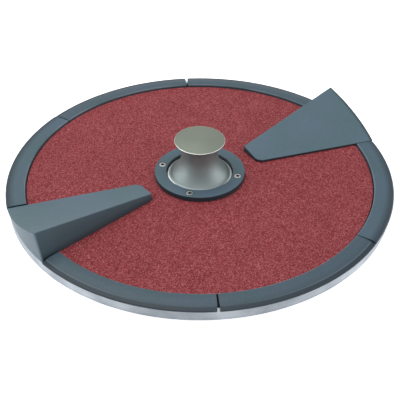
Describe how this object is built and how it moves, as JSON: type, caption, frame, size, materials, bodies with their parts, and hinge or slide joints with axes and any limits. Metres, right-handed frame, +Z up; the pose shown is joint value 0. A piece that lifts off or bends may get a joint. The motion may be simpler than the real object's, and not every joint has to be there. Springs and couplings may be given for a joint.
{
  "type": "abrasive turntable plate",
  "caption": "Round abrasive turntable plate with two ramped lifting wedges, a segmented raised rim, a metal band round its edge and a spool-shaped centre knob.",
  "frame": {"origin": "on the axis of rotation, at the plane of the band's bottom face that the plate rests on", "axes": "+Z up along the axis of rotation; the shaft's cross-pin slot lies along X"},
  "size_m": [0.4, 0.4, 0.0558],
  "materials": {
    "cast_plate": "cast and turned, fine lathe lines on the band",
    "red_abrasive": "coarse bonded abrasive grit, matt",
    "slate_plastic": "moulded, fine texture, slight sheen",
    "satin_steel": "turned and satin brushed",
    "screw_steel": "bright stainless",
    "machined_steel": "machined",
    "bronze": "machined bearing bronze",
    "seal_rubber": "matt"
  },
  "bodies": {
    "plate": {"abrasive_disc": "red_abrasive", "base_plate": "cast_plate", "hub": "machined_steel", "hub_screw_1": "screw_steel", "hub_screw_2": "screw_steel", "hub_screw_3": "screw_steel", "hub_screw_4": "screw_steel", "knob_seal": "seal_rubber", "ramp_1": "slate_plastic", "ramp_2": "slate_plastic", "ramp_screw_1": "screw_steel", "ramp_screw_2": "screw_steel", "ramp_screw_3": "screw_steel", "ramp_screw_4": "screw_steel", "ramp_screw_5": "screw_steel", "ramp_screw_6": "screw_steel", "retaining_ring": "slate_plastic", "rim_segment_1": "slate_plastic", "rim_segment_2": "slate_plastic", "rim_segment_3": "slate_plastic", "rim_segment_4": "slate_plastic", "rim_segment_5": "slate_plastic", "rim_segment_6": "slate_plastic", "ring_screw_1": "screw_steel", "ring_screw_2": "screw_steel", "ring_screw_3": "screw_steel", "ring_screw_4": "screw_steel", "segment_screw_1": "screw_steel", "segment_screw_10": "screw_steel", "segment_screw_11": "screw_steel", "segment_screw_12": "screw_steel", "segment_screw_2": "screw_steel", "segment_screw_3": "screw_steel", "segment_screw_4": "screw_steel", "segment_screw_5": "screw_steel", "segment_screw_6": "screw_steel", "segment_screw_7": "screw_steel", "segment_screw_8": "screw_steel", "segment_screw_9": "screw_steel", "thrust_washer": "bronze"},
    "clamp_knob": {"knob": "satin_steel", "thread_sleeve": "machined_steel", "knob_clip": "machined_steel"}
  },
  "joints": [
    {"name": "knob_turn", "type": "hinge", "parent": "plate", "child": "clamp_knob", "pos_m": [0, 0, 0.029], "axis": [0, 0, 1], "continuous": true}
  ]
}
